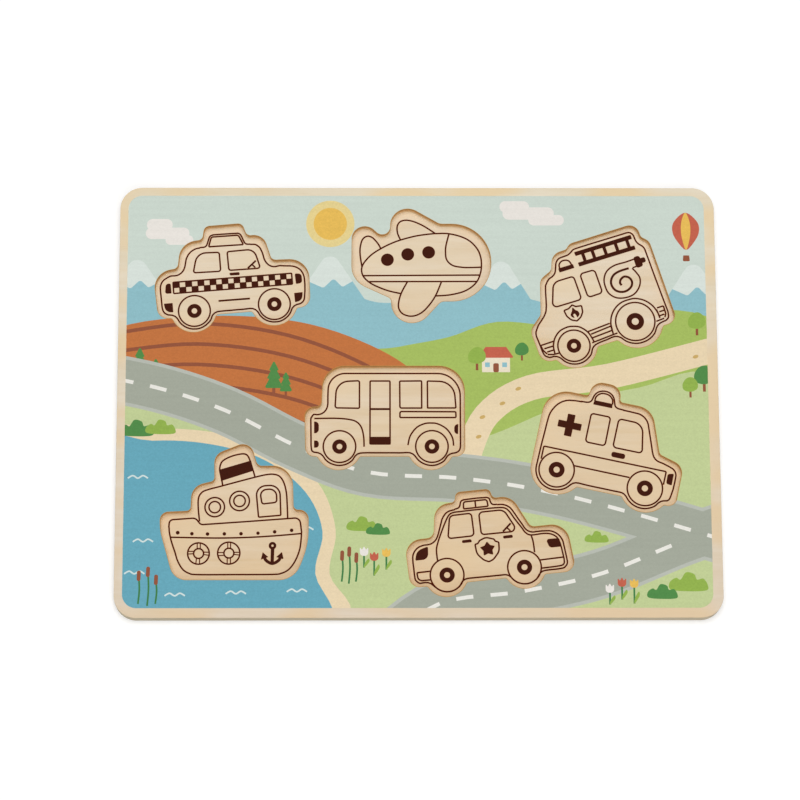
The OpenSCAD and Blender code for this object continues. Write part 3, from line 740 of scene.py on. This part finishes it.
class PuzzleInks(bpy.types.PropertyGroup):
    __annotations__ = colours((
        ("sky", "C9D5CB", "Printed sky"),
        ("cloud", "E6E1DA", "Printed clouds and pale flowers"),
        ("halo", "E3CF8E", "Ring round the sun"),
        ("sun", "E4B957", "Sun, balloon stripe and yellow flowers"),
        ("mountain", "8DBBC4", "Far mountains and windows"),
        ("snow", "D6DFD8", "Mountain tops"),
        ("field", "A3BA5E", "Green hill"),
        ("clay", "BF713D", "Ploughed hill"),
        ("soil", "8F5138", "Furrows, trunks, door, basket and reed heads"),
        ("meadow", "BECB93", "Grass"),
        ("sand", "E6D2AE", "Lane and beach"),
        ("pebble", "C8A765", "Stones on the lane"),
        ("water", "65A5B7", "Lake"),
        ("foam", "CFDEDB", "Small waves"),
        ("plaster", "E8DDC5", "House wall"),
        ("brick", "C0604A", "Roof, balloon and red flowers"),
        ("leaf", "8FAE4B", "Light leaves"),
        ("pine", "4E8746", "Dark leaves"),
        ("kerb", "B5B9AF", "Road edges"),
        ("road", "A1A698", "Roads"),
        ("dash", "E8E6DE", "Road dashes"),
        ("stem", "3F7A45", "Stems"),
        ("toast", "B98C4C", "Browned rim of the cuts in the printed face")))


# Materials

class Value:
    """What a socket of a shader tree puts out; + - * add a math node."""

    def __init__(self, tree, socket):
        self.tree, self.socket = tree, socket

    def math(self, operation, *others, clamp=False):
        inputs = dict(enumerate((self, *others)))
        return result(self.tree, "ShaderNodeMath", inputs, operation=operation, use_clamp=clamp)

    def __add__(self, other):
        return self.math("ADD", other)

    def __sub__(self, other):
        return self.math("SUBTRACT", other)

    def __mul__(self, other):
        return self.math("MULTIPLY", other)

    def scaled(self, by, plus, clamp=False):
        return self.math("MULTIPLY_ADD", by, plus, clamp=clamp)


def feed(target, value):
    """Gives a socket a value, a number, a vector or a colour."""
    if isinstance(value, Value):
        value.tree.links.new(value.socket, target)
    elif target.type == "RGBA":
        target.default_value = (*value, 1)
    else:
        target.default_value = value


def node_of(tree, kind, inputs, **settings):
    node = tree.nodes.new(kind)
    for key, value in settings.items():
        setattr(node, key, value)
    for key, value in inputs.items():
        feed(node.inputs[key], value)
    return node


def result(tree, kind, inputs, output=0, **settings):
    """The named or numbered output of a new node."""
    return Value(tree, node_of(tree, kind, inputs, **settings).outputs[output])


def blend(tree, share, a, b, mode="MIX"):
    return result(tree, "ShaderNodeMix", {0: share, 6: a, 7: b}, 2, data_type="RGBA", blend_type=mode)


def dimmed(tint, by):
    return tuple(min(1, part * by) for part in tint)


def place_of(tree):
    return result(tree, "ShaderNodeTexCoord", {}, "Object")


def streaks(tree, scale, detail=3, rough=0.55):
    """Noise on Object coordinates, stretched by the scale of each axis, per metre."""
    place = result(tree, "ShaderNodeMapping", {"Vector": place_of(tree), "Scale": scale})
    return result(tree, "ShaderNodeTexNoise", {
        "Vector": place, "Scale": 1, "Detail": detail, "Roughness": rough})


def along(tree, axis):
    """Place of a point along an axis, in m."""
    return result(tree, "ShaderNodeSeparateXYZ", {0: place_of(tree)}, axis)


def axis_share(tree, axis, start, end):
    """Place of a point along an axis between two levels, 0 to 1."""
    return result(tree, "ShaderNodeMapRange", {"Value": along(tree, axis), "From Min": start, "From Max": end})


def wood_grain(tree, given):
    """Pale close-grained wood: long streaks, slow changes of tone and fine pores along X, and painted shade
    that darkens and warms it toward the near edge.
    """
    fine = streaks(tree, (14, 520, 520), 4)
    broad = streaks(tree, (5, 34, 34), 2)
    flames = streaks(tree, (30, 210, 210), 2)
    pore = streaks(tree, (130, 2600, 2600), 1).math("GREATER_THAN", 0.67)
    mix = fine * 0.45 + broad * 0.75 + flames * 0.8
    tint = blend(tree, (mix - 0.98).scaled(given["Figure"], 0.5, clamp=True), given["Pale"], given["Dark"])
    patch = (streaks(tree, (22, 48, 48), 1) - 0.42).math("MULTIPLY", given["Patches"], clamp=True)
    tint = blend(tree, patch, tint, given["Blush"])
    # Painted shade: the tint is multiplied by the shade colour more and more from the far edge to the near
    # edge, as if less light fell there.
    warm = blend(tree, 1, tint, given["Warm"], "MULTIPLY")
    tint = blend(tree, axis_share(tree, "Y", FAR_EDGE, -FAR_EDGE), tint, warm)
    tint = blend(tree, pore * 0.1, tint, given["Dark"], "MULTIPLY")
    return tint, fine.scaled(0.18, 0.46), fine - pore * 0.4


def print_on_wood(tree, given):
    """Thin matt print that lets the grain show and breaks up in fine specks."""
    grain = streaks(tree, (14, 520, 520), 4)
    broad = streaks(tree, (9, 30, 30), 2)
    speck = streaks(tree, (1100, 1300, 1300), 2, 0.6)
    tone = (grain + broad * 0.6 - 0.8) * given["Grain"] + (speck - 0.5) * given["Specks"]
    tint = result(tree, "ShaderNodeHueSaturation", {"Value": tone + 1, "Color": given["Ink"]})
    return tint, grain.scaled(0.12, 0.6), grain + speck * 0.5


OUTPUTS = {"Color": "NodeSocketColor", "Roughness": "NodeSocketFloat", "Height": "NodeSocketFloat"}


def group_in(tree, fill_in, **values):
    """Colour, roughness and height of the shader group fill_in, built once, with values of its own."""
    group = bpy.data.node_groups.get(fill_in.__name__)
    if not group:
        group = bpy.data.node_groups.new(fill_in.__name__, "ShaderNodeTree")
        for label, value in values.items():
            kind = "NodeSocketColor" if isinstance(value, tuple) else "NodeSocketFloat"
            group.interface.new_socket(label, in_out="INPUT", socket_type=kind)
        for label, kind in OUTPUTS.items():
            group.interface.new_socket(label, in_out="OUTPUT", socket_type=kind)
        inputs = group.nodes.new("NodeGroupInput").outputs
        made = fill_in(group, {label: Value(group, inputs[label]) for label in values})
        node_of(group, "NodeGroupOutput", dict(zip(OUTPUTS, made)))
    node = node_of(tree, "ShaderNodeGroup", {}, node_tree=group)
    for label, value in values.items():
        feed(node.inputs[label], value)
    return [Value(tree, node.outputs[label]) for label in OUTPUTS]


def surface(name, fill_in, bump=0.00003, specular=0.2):
    """A material whose colour, roughness and height come from fill_in(tree)."""
    known = bpy.data.materials.get(name)
    if known:
        return known
    material = bpy.data.materials.new(name)
    material.use_nodes = True
    tree = material.node_tree
    tree.nodes.clear()
    tint, rough, height = fill_in(tree)
    relief = result(tree, "ShaderNodeBump", {"Strength": 0.5, "Distance": bump, "Height": height})
    shader = result(tree, "ShaderNodeBsdfPrincipled", {
        "Base Color": tint, "Roughness": rough, "Specular IOR Level": specular, "Normal": relief})
    node_of(tree, "ShaderNodeOutputMaterial", {"Surface": shader})
    return material


def plain_wood(name, pale, dark, blush, warm, figure, patches):
    return surface(name, lambda tree: group_in(
        tree, wood_grain, Pale=tuple(pale), Dark=tuple(dark), Blush=tuple(blush), Warm=warm, Figure=figure,
        Patches=patches))


def panel_wood():
    woods = bpy.context.scene.puzzle_woods
    # The last colour is painted shade, multiplied in toward the board's near edge.
    return plain_wood("panel_wood", woods.pale, woods.dark, woods.blush, (0.912, 0.872, 0.887), 1.0, 5.5)


def floor_wood():
    woods = bpy.context.scene.puzzle_woods
    # The last colour is painted shade, darker and yellower toward the near edge, on the floors and on the
    # vehicles too.
    return plain_wood("floor_wood", woods.floor_pale, woods.floor_dark, woods.floor_blush, (0.92, 0.82, 0.69),
                      1.4, 3.2)


def print_ink(ink):
    """The print in one ink, with more specks the stronger its colour."""
    tint = tuple(getattr(bpy.context.scene.puzzle_inks, ink))
    specks = 0.14 + 0.22 * (1 - min(tint) / max(tint))
    return surface("ink_" + ink, lambda tree: group_in(
        tree, print_on_wood, Ink=tint, Grain=0.11, Specks=specks), bump=0.00002, specular=0.12)


def ramp(tree, share, stops):
    node = node_of(tree, "ShaderNodeValToRGB", {0: share})
    elements = node.color_ramp.elements
    for element, (place, tint) in zip(elements, (stops[0], stops[-1])):
        element.position, element.color = place, (*tint, 1)
    for place, tint in stops[1:-1]:
        elements.new(place).color = (*tint, 1)
    return Value(tree, node.outputs[0])


def scorched_wall(name, low, high):
    """Laser-cut wall: honey brown, darkest at its upper rim, with upright streaks."""
    woods = bpy.context.scene.puzzle_woods
    stops = ((0, woods.foot), (0.6, woods.honey), (0.93, woods.scorch), (1, dimmed(woods.scorch, 0.62)))

    def fill_in(tree):
        up = streaks(tree, (900, 900, 60))
        tint = ramp(tree, axis_share(tree, "Z", low, high) + (up - 0.5) * 0.25, stops)
        return tint, up.scaled(0.2, 0.55), up
    return surface(name, fill_in, bump=0.00005)


def sawn_edge():
    """Edge of the glued panels, with their plies as bands."""
    woods, plies_per_metre = bpy.context.scene.puzzle_woods, 500

    def fill_in(tree):
        fibre = streaks(tree, (240, 240, 2200))
        ply = (along(tree, "Z") * plies_per_metre).math("FRACT").math("GREATER_THAN", 0.5)
        tint = blend(tree, ply * 0.35, tuple(woods.edge), dimmed(woods.edge, 0.72))
        tint = blend(tree, fibre * 0.3, tint, dimmed(woods.dark, 0.75))
        return tint, fibre.scaled(0.2, 0.6), fibre
    return surface("sawn_edge", fill_in, bump=0.00005)


def burnt_woods():
    """Filled marks, thin lines and the browned bands beside them."""
    woods = bpy.context.scene.puzzle_woods

    def burnt(name, tint):
        def fill_in(tree):
            ash = streaks(tree, (600, 1300, 1300))
            return blend(tree, ash, dimmed(tint, 0.75), dimmed(tint, 1.3)), ash.scaled(0.2, 0.6), ash
        return surface(name, fill_in, bump=0.00004, specular=0.05)
    return [burnt("burnt_marks", woods.burn), burnt("burnt_lines", woods.line),
            burnt("scorched_bands", woods.band)]


def turned_wood():
    peg = bpy.context.scene.puzzle_woods.peg

    def fill_in(tree):
        rings = streaks(tree, (420, 420, 16))
        fine = streaks(tree, (1500, 1500, 120), 2)
        tint = blend(tree, rings, dimmed(peg, 1.1), dimmed(peg, 0.72))
        tint = blend(tree, fine * 0.25, tint, dimmed(peg, 0.6))
        return tint, rings.scaled(0.15, 0.36), fine
    return surface("turned_wood", fill_in, specular=0.4)


# Shaping

def only(*objects):
    """Selects these objects, the first one active, and nothing else."""
    bpy.ops.object.select_all(action="DESELECT")
    for obj in objects:
        obj.select_set(True)
    bpy.context.view_layer.objects.active = objects[0]


def plates(name, shapes, low, high):
    """Closed upright plates between two levels, one for each flat shape, a list of outlines in mm."""
    made = []
    for k, outlines in enumerate(shapes):
        flat = bpy.data.curves.new(f"{name}_{k}", "CURVE")
        flat.dimensions, flat.fill_mode, flat.extrude = "2D", "BOTH", (high - low) / 2
        for outline in outlines:
            spline = flat.splines.new("POLY")
            spline.points.add(len(outline) - 1)
            for point, (x, y) in zip(spline.points, outline):
                point.co = (x * MM, y * MM, 0, 1)
            spline.use_cyclic_u = True
        obj = bpy.data.objects.new(flat.name, flat)
        obj.location.z = (high + low) / 2
        bpy.context.scene.collection.objects.link(obj)
        made.append(obj)
    only(*made)
    bpy.ops.object.convert(target="MESH")
    bpy.ops.object.transform_apply(location=True, rotation=True, scale=True)
    bpy.ops.object.mode_set(mode="EDIT")
    bpy.ops.mesh.select_all(action="SELECT")
    bpy.ops.mesh.remove_doubles(threshold=2e-7)
    bpy.ops.mesh.normals_make_consistent(inside=False)
    bpy.ops.object.mode_set(mode="OBJECT")
    return made


def drop(objects):
    for obj in objects:
        mesh = obj.data
        bpy.data.objects.remove(obj)
        bpy.data.meshes.remove(mesh)


def twin(obj):
    """A copy of an object with a mesh of its own."""
    made = obj.copy()
    made.data = obj.data.copy()
    bpy.context.scene.collection.objects.link(made)
    return made


def combine(obj, tools, operation, keep=False, sure=False):
    """Cuts, joins or meets obj with closed tools. With sure, a step that changes nothing is an error."""
    faces = len(obj.data.polygons)
    shelf = bpy.data.collections.new("tools")
    bpy.context.scene.collection.children.link(shelf)
    for tool in tools:
        shelf.objects.link(tool)
    only(obj)
    step = obj.modifiers.new("step", "BOOLEAN")
    step.operation, step.solver = operation, "MANIFOLD"
    step.operand_type, step.collection = "COLLECTION", shelf
    bpy.ops.object.modifier_apply(modifier=step.name)
    bpy.data.collections.remove(shelf)
    if sure and len(obj.data.polygons) == faces:
        raise RuntimeError(f"{obj.name}: the tools did not cut")
    if not keep:
        drop(tools)


def ease_edges(obj, levels, ease):
    """Rounds the edges whose ends all lie on the levels, so upright ones too where both levels are given."""
    only(obj)
    bpy.ops.object.mode_set(mode="EDIT")
    bpy.ops.mesh.select_mode(type="EDGE")
    bpy.ops.mesh.select_all(action="SELECT")
    bpy.ops.mesh.dissolve_limited(angle_limit=math.radians(0.5))
    bpy.ops.mesh.select_all(action="DESELECT")
    bpy.ops.object.mode_set(mode="OBJECT")
    for edge in obj.data.edges:
        ends = [obj.data.vertices[i].co.z for i in edge.vertices]
        edge.select = all(any(abs(z - level) < NEAR for level in levels) for z in ends)
    bpy.ops.object.mode_set(mode="EDIT")
    bpy.ops.mesh.bevel(offset=ease, segments=3, profile=0.5, affect="EDGES")
    bpy.ops.object.mode_set(mode="OBJECT")


def finish_piece(obj, name, body, replaced=()):
    obj.name = obj.data.name = name
    only(obj)
    bpy.ops.object.shade_smooth_by_angle(angle=math.radians(25))
    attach(obj, body)
    if replaced:
        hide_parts(*replaced)


def set_materials(obj, materials, choose=None):
    """Gives each face the first material, or the one that choose(centre, normal, lowest, highest) numbers."""
    obj.data.materials.clear()
    for material in materials:
        obj.data.materials.append(material)
    points = obj.data.vertices
    for face in obj.data.polygons:
        levels = [points[i].co.z for i in face.vertices]
        face.material_index = choose(face.center, face.normal, min(levels), max(levels)) if choose else 0


def groove_tools(name, surface_level, move=(0, 0)):
    """Cutters for a vehicle's drawing: shallow scorched bands, the lines in them and deeper filled marks."""
    sizes = bpy.context.scene.puzzle_sizes

    def moved(outline):
        return [(x + move[0], y + move[1]) for x, y in outline]

    thin, full = [[[moved(outline) for outline in shape] for shape in shapes]
                  for shapes in marks_of(name, sizes.mark_width / MM)]
    wider = sizes.mark_scorch / MM
    bands = [[inset(outline, wider if k else -wider) for k, outline in enumerate(shape)]
             for shape in thin + full]
    return [tool for kind, shapes, depth, past in (
        ("mark_", full, sizes.mark_depth, MARK_PAST), ("line_", thin, sizes.line_depth, LINE_PAST),
        ("band_", bands, sizes.scorch_depth, BAND_PAST))
        for tool in plates(kind + name, shapes, surface_level - depth, surface_level + past)]


def drawn_faces(low, high):
    """Numbers a drawn piece's faces: 0 wood, 1 edge, 2 filled marks, 3 lines, 4 scorched bands."""
    sizes = bpy.context.scene.puzzle_sizes
    marks_low, lines_low, bands_low = (
        high - depth - NEAR for depth in (sizes.mark_depth, sizes.line_depth, sizes.scorch_depth))

    def choose(centre, normal, lowest, highest):
        if abs(normal.z) > 0.9 and (lowest > high - NEAR or highest < low + NEAR):
            return 0
        if lowest < marks_low:
            return 1
        return 4 if lowest > bands_low else 3 if lowest > lines_low else 2
    return choose


# Operators

class BuildBasePanel(bpy.types.Operator):
    """Base panel, with the seven drawings burnt into the recess floors"""
    bl_idname = "puzzle.base_panel"
    bl_label = "Base panel"

    def execute(self, context):
        low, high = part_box("base_panel")
        panel = plates("base", [[BOARD_EDGE]], low.z, high.z)[0]
        ease_edges(panel, [low.z], context.scene.puzzle_sizes.edge_ease)
        tools = [tool for name in VEHICLES for tool in groove_tools(name, FLOOR_LEVEL)]
        combine(panel, tools, "DIFFERENCE", sure=True)
        set_materials(panel, [floor_wood(), sawn_edge(), *burnt_woods()], drawn_faces(low.z, high.z))
        finish_piece(panel, "base_panel_wood", "board", ["base_panel"])
        return {"FINISHED"}


def recess_cutters(low, high):
    return plates("recess", [[recess_outline(name)] for name in VEHICLES], low - CUT_PAST, high + CUT_PAST)


class BuildTopPanel(bpy.types.Operator):
    """Top panel, cut through by the seven recesses"""
    bl_idname = "puzzle.top_panel"
    bl_label = "Top panel"

    def execute(self, context):
        panel = plates("top", [[BOARD_EDGE]], FLOOR_LEVEL, FACE_LEVEL)[0]
        ease_edges(panel, [FACE_LEVEL], context.scene.puzzle_sizes.edge_ease)
        combine(panel, recess_cutters(FLOOR_LEVEL, FACE_LEVEL), "DIFFERENCE", sure=True)
        rim = 1.2  # upright faces this near to the board's edge, in mm, are its sawn edge

        def choose(centre, normal, lowest, highest):
            if abs(normal.z) > 0.5:
                return 0
            return 1 if gap_to((centre.x / MM, centre.y / MM), BOARD_EDGE) < rim else 2
        walls = scorched_wall("recess_wall", FLOOR_LEVEL, FACE_LEVEL)
        set_materials(panel, [panel_wood(), sawn_edge(), walls], choose)
        finish_piece(panel, "top_panel_wood", "board", ["top_panel"])
        return {"FINISHED"}


THEMES = {"print_sky": ("sky", "cloud", "halo"),
          "print_hills": ("mountain", "snow", "field", "clay", "meadow"),
          "print_ways": ("road", "kerb", "dash", "sand", "pebble", "water", "foam"),
          "print_details": ("sun", "soil", "plaster", "brick", "leaf", "pine", "stem", "toast")}
PRINT_SINK = 0.00001  # how far the printed layer reaches into the wood, in m


class PrintLandscape(bpy.types.Operator):
    """Printed picture: a thin colour layer on the top panel, each ink a shape of its own"""
    bl_idname = "puzzle.landscape"
    bl_label = "Printed landscape"

    def execute(self, context):
        sizes = context.scene.puzzle_sizes
        border, corner = sizes.print_border / MM, sizes.print_corner / MM
        x, y = max(p[0] for p in BOARD_EDGE) - border, max(p[1] for p in BOARD_EDGE) - border
        dx, dy = (shift / MM for shift in sizes.print_shift)
        low, high = FACE_LEVEL - PRINT_SINK, FACE_LEVEL + sizes.print_thickness
        corners = [(dx + i * x, dy + j * y, corner) for i, j in ((-1, -1), (1, -1), (1, 1), (-1, 1))]
        sheet = plates("print", [[rounded(corners, step=6)]], low, high)[0]
        combine(sheet, recess_cutters(low, high), "DIFFERENCE", sure=True)
        layers = []
        for k, (ink, shapes) in reversed(list(enumerate(landscape()))):
            tools = plates(f"shape_{k}", [[s] for s in shapes], low - SHAPE_PAST, high + SHAPE_PAST)
            whole = twin(tools[0])
            if len(tools) > 1:
                combine(whole, tools[1:], "UNION", keep=True)
            combine(whole, [sheet], "INTERSECT", keep=True)
            combine(sheet, tools, "DIFFERENCE")
            if len(whole.data.polygons):
                layers.append((ink, whole))
            else:
                drop([whole])
        layers.append(("sky", sheet))
        for ink, layer in layers:
            set_materials(layer, [print_ink(ink)])
        for theme, inks in THEMES.items():
            found = [layer for ink, layer in layers if ink in inks]
            only(*found)
            bpy.ops.object.join()
            finish_piece(found[0], theme, "board")
        return {"FINISHED"}


class BuildVehicles(bpy.types.Operator):
    """Seven loose vehicles, with eased edges, peg holes and the drawings of their recesses"""
    bl_idname = "puzzle.vehicles"
    bl_label = "Vehicles"

    def execute(self, context):
        for name in VEHICLES:
            low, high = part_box(name)
            hole, *_, edge = sorted(face_outlines(name, high.z), key=span)
            piece = plates(name, [[edge]], low.z, high.z)[0]
            ease_edges(piece, [low.z, high.z], context.scene.puzzle_sizes.vehicle_ease)
            way = CARRY[name + "_piece"]
            tools = groove_tools(name, high.z, (-way.x, -way.y))
            tools += plates("hole", [[hole]], low.z - CUT_PAST, high.z + CUT_PAST)
            combine(piece, tools, "DIFFERENCE", sure=True)
            set_materials(piece, [floor_wood(), scorched_wall("vehicle_edge", 0, high.z), *burnt_woods()],
                          drawn_faces(low.z, high.z))
            finish_piece(piece, name + "_wood", name + "_piece", [name])
        return {"FINISHED"}


def peg_profile():
    """Points (radius, level) in mm of a turned peg, from the foot of its shank to the top of its knob."""
    knob, neck, shank = 6.25, 3.25, 2.5
    base, top = VEHICLE_LEVEL / MM, PEG_TOP / MM
    foot, bevel_in, bevel_up, lip_in, lip_up = 0.4, 0.4, 0.5, 0.15, 0.2
    collar, waist, pitch, sunk, steps = 0.8, 0.12, 0.35, 0.05, 22
    points = [(0, foot), (shank - bevel_in, foot), (shank, foot + bevel_up), (shank, base),
              (neck - lip_in, base), (neck, base + lip_up), (neck, base + collar)]
    points += [(neck - waist * math.sin(math.pi * k / 4), base + collar + k * pitch) for k in (1, 2, 3)]
    start = math.asin((neck - sunk) / knob)
    for k in range(steps):
        angle = start + (math.pi - start) * k / steps
        points.append((knob * math.sin(angle), top - knob - knob * math.cos(angle)))
    return points + [(0, top)]


class BuildPegs(bpy.types.Operator):
    """Seven turned pegs: a round knob on a waisted neck, modelled once and copied"""
    bl_idname = "puzzle.pegs"
    bl_label = "Pegs"

    def execute(self, context):
        profile = peg_profile()
        bpy.ops.object.select_all(action="DESELECT")
        bpy.ops.mesh.primitive_uv_sphere_add(segments=40, ring_count=len(profile) - 1, radius=1,
                                             location=(0, 0, 0))
        first = context.active_object
        levels = sorted({round(v.co.z, 5) for v in first.data.vertices})
        for v in first.data.vertices:
            radius, z = profile[levels.index(round(v.co.z, 5))]
            around = math.hypot(v.co.x, v.co.y)
            out = radius * MM / around if around > 1e-6 else 0
            v.co = (v.co.x * out, v.co.y * out, z * MM)
        set_materials(first, [turned_wood()])
        for name in VEHICLES:
            low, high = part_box(name + "_peg")
            peg = twin(first)
            peg.location = ((low.x + high.x) / 2, (low.y + high.y) / 2, 0)
            only(peg)
            bpy.ops.object.transform_apply(location=True, rotation=True, scale=True)
            finish_piece(peg, name + "_turned_peg", name + "_piece", [name + "_peg"])
        drop([first])
        return {"FINISHED"}


# Stage
# Lengths in m, angles in degrees, powers in W.

TABLE_SIZE, TABLE_LEVEL, TABLE_GREY = 12, -0.00002, (0.8, 0.8, 0.8)
GLOW_START, GLOW_RISE, GLOW_NEAR, GLOW_MORE = 0.3, 1.2, 0.27, 0.75
SKY_LIGHT = 0.28
LAMPS = (("soft_top", (-0.08, 0.1, 2.2), 1.4, 32.3), ("soft_front", (0.5, -1.2, 1.6), 1.2, 7.6))
CAMERA_PLACE, CAMERA_TILT, CAMERA_YAW = (-0.02784, -0.35613, 1.54945), 13, 0.68
SENSOR_WIDTH, CLIP_NEAR, CLIP_FAR = 36, 0.05, 50


def seen_share(tree):
    """1 where the camera sees a surface, straight or in a reflection, and 0 where it only lights others."""
    rays_in = node_of(tree, "ShaderNodeLightPath", {}).outputs
    camera, glossy, through = (
        Value(tree, rays_in[f"Is {kind} Ray"]) for kind in ("Camera", "Glossy", "Transmission"))
    return (camera + glossy).math("ADD", through, clamp=True)


def white_table():
    """White that glows to the camera, more so away from the puzzle, and keeps a soft shadow near it."""
    white = bpy.data.materials.new("white_table")
    white.use_nodes = True
    tree = white.node_tree
    tree.nodes.clear()
    far = result(tree, "ShaderNodeVectorMath", {0: place_of(tree)}, "Value", operation="LENGTH")
    away = (far - GLOW_START).math("MULTIPLY", GLOW_RISE, clamp=True)
    strength = seen_share(tree) * away.scaled(GLOW_MORE, GLOW_NEAR)
    shade = result(tree, "ShaderNodeBsdfDiffuse", {"Color": TABLE_GREY})
    glow = result(tree, "ShaderNodeEmission", {"Strength": strength})
    both = result(tree, "ShaderNodeAddShader", {0: shade, 1: glow})
    node_of(tree, "ShaderNodeOutputMaterial", {"Surface": both})
    return white


class SetStage(bpy.types.Operator):
    """White table that glows away from the puzzle, soft light and the camera"""
    bl_idname = "puzzle.stage"
    bl_label = "Stage"

    def execute(self, context):
        scene = context.scene
        bpy.ops.object.select_all(action="DESELECT")
        bpy.ops.mesh.primitive_plane_add(size=TABLE_SIZE, location=(0, 0, TABLE_LEVEL))
        table = context.active_object
        table.name = "table"
        table.data.materials.append(white_table())

        scene.world = bpy.data.worlds.new("studio")
        scene.world.use_nodes = True
        tree = scene.world.node_tree
        sky = tree.nodes["Background"].inputs
        feed(sky["Color"], (1, 1, 1))
        feed(sky["Strength"], seen_share(tree).scaled(1 - SKY_LIGHT, SKY_LIGHT))
        for name, place, size, power in LAMPS:
            lamp = bpy.data.lights.new(name, "AREA")
            lamp.energy, lamp.size = power, size
            obj = bpy.data.objects.new(name, lamp)
            obj.location = place
            obj.rotation_euler = (-Vector(place)).to_track_quat("-Z", "Y").to_euler()
            scene.collection.objects.link(obj)

        tilt = Matrix.Rotation(math.radians(CAMERA_TILT), 4, "X")
        yaw = Matrix.Rotation(math.radians(-CAMERA_YAW), 4, "Y")
        camera = bpy.data.objects.new("camera", bpy.data.cameras.new("camera"))
        camera.data.sensor_width = SENSOR_WIDTH
        camera.data.lens = scene.puzzle_sizes.camera_lens
        camera.data.clip_start, camera.data.clip_end = CLIP_NEAR, CLIP_FAR
        camera.matrix_world = Matrix.Translation(CAMERA_PLACE) @ tilt @ yaw
        scene.collection.objects.link(camera)
        scene.camera = camera
        scene.view_settings.view_transform = "Standard"
        return {"FINISHED"}


class PuzzlePanel(bpy.types.Panel):
    """Pieces of the peg puzzle and their settings"""
    bl_idname = "VIEW3D_PT_peg_puzzle"
    bl_label = "Peg puzzle"
    bl_space_type = "VIEW_3D"
    bl_region_type = "UI"
    bl_category = "Peg puzzle"

    def draw(self, context):
        for operator in STEPS:
            self.layout.operator(operator.bl_idname)
        for key, group in GROUPS:
            for name in group.__annotations__:
                self.layout.prop(getattr(context.scene, key), name)


STEPS = (BuildBasePanel, BuildTopPanel, PrintLandscape, BuildVehicles, BuildPegs, SetStage)
GROUPS = (("puzzle_sizes", PuzzleSizes), ("puzzle_woods", PuzzleWoods), ("puzzle_inks", PuzzleInks))


def register():
    for key, group in GROUPS:
        bpy.utils.register_class(group)
        setattr(bpy.types.Scene, key, bpy.props.PointerProperty(type=group))
    for item in (*STEPS, PuzzlePanel):
        bpy.utils.register_class(item)


def unregister():
    for item in (PuzzlePanel, *reversed(STEPS)):
        bpy.utils.unregister_class(item)
    for key, group in reversed(GROUPS):
        delattr(bpy.types.Scene, key)
        bpy.utils.unregister_class(group)


def main():
    register()
    bpy.ops.puzzle.base_panel()
    bpy.ops.puzzle.top_panel()
    bpy.ops.puzzle.landscape()
    bpy.ops.puzzle.vehicles()
    bpy.ops.puzzle.pegs()
    bpy.ops.puzzle.stage()
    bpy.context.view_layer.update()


if __name__ == "__main__":
    main()
